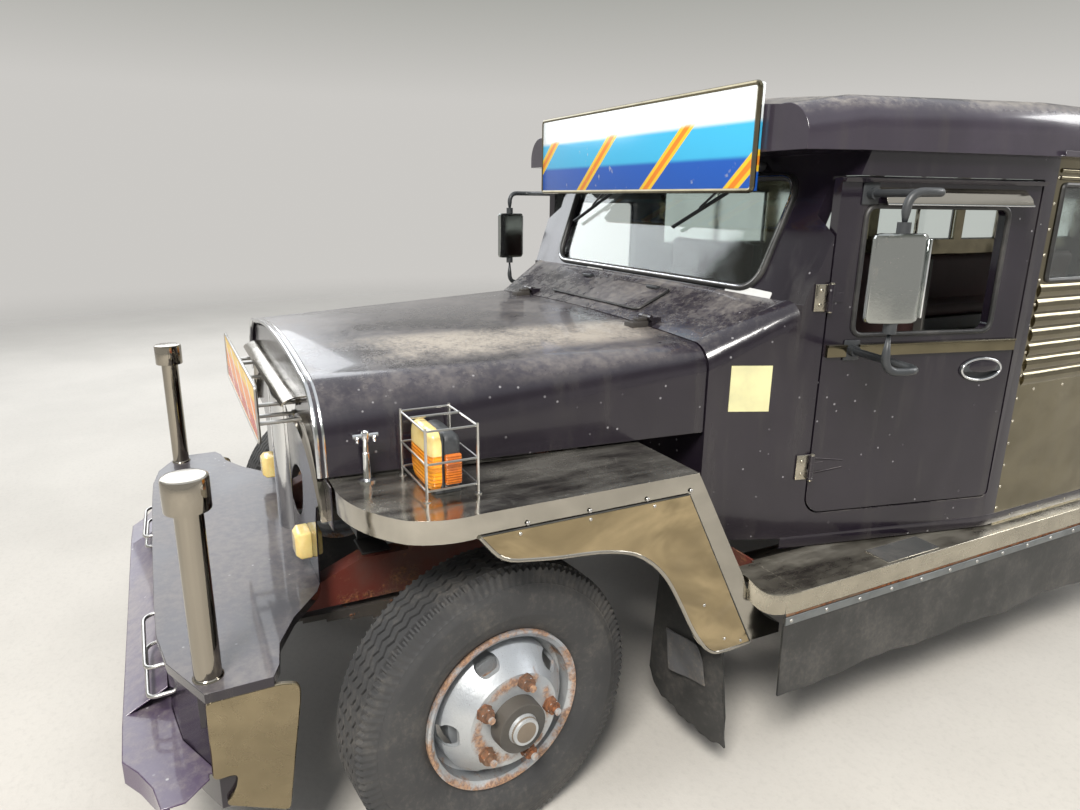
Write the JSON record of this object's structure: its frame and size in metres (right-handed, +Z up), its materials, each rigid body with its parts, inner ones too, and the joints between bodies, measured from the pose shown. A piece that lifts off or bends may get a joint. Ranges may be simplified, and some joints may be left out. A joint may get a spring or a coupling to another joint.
{
  "type": "long-nosed jeepney",
  "caption": "Long-nosed passenger jeepney with steering, turning wheels, hinged cab doors and a hinged hood.",
  "frame": {"origin": "on the ground below the middle of the whole length and width", "axes": "+X to the vehicle's left side, -Y forwards, +Z up"},
  "size_m": [2.3086, 6.69, 1.955],
  "materials": {
    "body_paint": "gloss, weathered",
    "apron_paint": "gloss, dusty",
    "stainless": "polished sheet, dulled",
    "chassis_paint": "red oxide, rusty",
    "black_paint": "satin",
    "roof_paint": "satin, dusty",
    "iron": "rough, oily",
    "wheel_paint": "satin, dusty",
    "tyre": "matte",
    "rubber": "matte, dusty",
    "glass": "clear",
    "cream_plastic": "gloss",
    "amber_plastic": "gloss",
    "red_plastic": "gloss",
    "black_plastic": "satin",
    "vinyl": "satin vinyl",
    "plate_steel": "worn",
    "sign_paint": "satin"
  },
  "bodies": {
    "body": {"bumper_apron": "apron_paint", "bumper_loops": "stainless", "bumper_shelf": "body_paint", "bumper_steel": "stainless", "chassis_frame": "chassis_paint", "cowl": "body_paint", "dashboard": "black_plastic", "drive_line": "iron", "engine_block": "iron", "fender_fittings": "stainless", "fender_skirts": "stainless", "floor": "plate_steel", "front_axle_beam": "iron", "front_fenders": "stainless", "front_seats": "vinyl", "leaf_springs": "iron", "nose_lamps": "cream_plastic", "nose_panel": "body_paint", "nose_sign": "sign_paint", "nose_trim": "stainless", "passenger_benches": "vinyl", "radiator": "black_paint", "rear_axle": "iron", "rear_frame": "body_paint", "rear_step": "black_paint", "roof": "roof_paint", "route_sign": "sign_paint", "rubber_flaps": "rubber", "running_boards": "stainless", "seat_frames": "plate_steel", "side_glass": "glass", "side_left": "stainless", "side_right": "stainless", "signal_lamps": "amber_plastic", "steering_wheel": "black_plastic", "tail_lamps": "red_plastic", "tank_and_exhaust": "black_paint", "windshield_glass": "glass"},
    "knuckle_left": {"knuckle_left": "iron"},
    "knuckle_right": {"knuckle_right": "iron"},
    "tie_rod": {"tie_rod": "iron"},
    "front_wheel_left": {"front_rim_left": "wheel_paint", "front_tyre_left": "tyre"},
    "front_wheel_right": {"front_rim_right": "wheel_paint", "front_tyre_right": "tyre"},
    "rear_wheels_left": {"rear_rims_left": "wheel_paint", "rear_tyres_left": "tyre"},
    "rear_wheels_right": {"rear_rims_right": "wheel_paint", "rear_tyres_right": "tyre"},
    "door_left": {"door_left": "body_paint", "mirror_left": "black_plastic"},
    "door_right": {"door_right": "body_paint", "mirror_right": "black_plastic"},
    "hood": {"hood": "body_paint"}
  },
  "joints": [
    {"name": "steer_left", "type": "hinge", "parent": "body", "child": "knuckle_left", "pos_m": [0.64, -2.52, 0.388], "axis": [0, 0, 1], "range_deg": [-38.7, 25.3]},
    {"name": "steer_right", "type": "hinge", "parent": "body", "child": "knuckle_right", "pos_m": [-0.64, -2.52, 0.388], "axis": [0, 0, 1], "range_deg": [-38.7, 25.3]},
    {"name": "tie_rod_turn", "type": "hinge", "parent": "knuckle_left", "child": "tie_rod", "pos_m": [0.6225, -2.37102, 0.275], "axis": [0, 0, 1], "range_deg": [-25.3, 38.7]},
    {"name": "front_wheel_left_spin", "type": "hinge", "parent": "knuckle_left", "child": "front_wheel_left", "pos_m": [0.81381, -2.49958, 0.388], "axis": [0.9932, 0.1167, 0], "continuous": true},
    {"name": "front_wheel_right_spin", "type": "hinge", "parent": "knuckle_right", "child": "front_wheel_right", "pos_m": [-0.81381, -2.54042, 0.388], "axis": [0.9932, 0.1167, 0], "continuous": true},
    {"name": "rear_wheels_left_spin", "type": "hinge", "parent": "body", "child": "rear_wheels_left", "pos_m": [0.738, 1.18, 0.388], "axis": [1, 0, 0], "continuous": true},
    {"name": "rear_wheels_right_spin", "type": "hinge", "parent": "body", "child": "rear_wheels_right", "pos_m": [-0.738, 1.18, 0.388], "axis": [1, 0, 0], "continuous": true},
    {"name": "door_left_hinge", "type": "hinge", "parent": "body", "child": "door_left", "pos_m": [0.86139, -1.4795, 1.12], "axis": [0, 0, -1], "range_deg": [0, 65]},
    {"name": "door_right_hinge", "type": "hinge", "parent": "body", "child": "door_right", "pos_m": [-0.86139, -1.4795, 1.12], "axis": [0, 0, 1], "range_deg": [0, 65]},
    {"name": "hood_hinge", "type": "hinge", "parent": "body", "child": "hood", "pos_m": [0, -1.792, 1.275], "axis": [-1, 0, 0], "range_deg": [0, 50]}
  ],
  "couplings": [
    {"joint": "steer_right", "follows": "steer_left", "ratio": 1},
    {"joint": "tie_rod_turn", "follows": "steer_left", "ratio": -1}
  ]
}
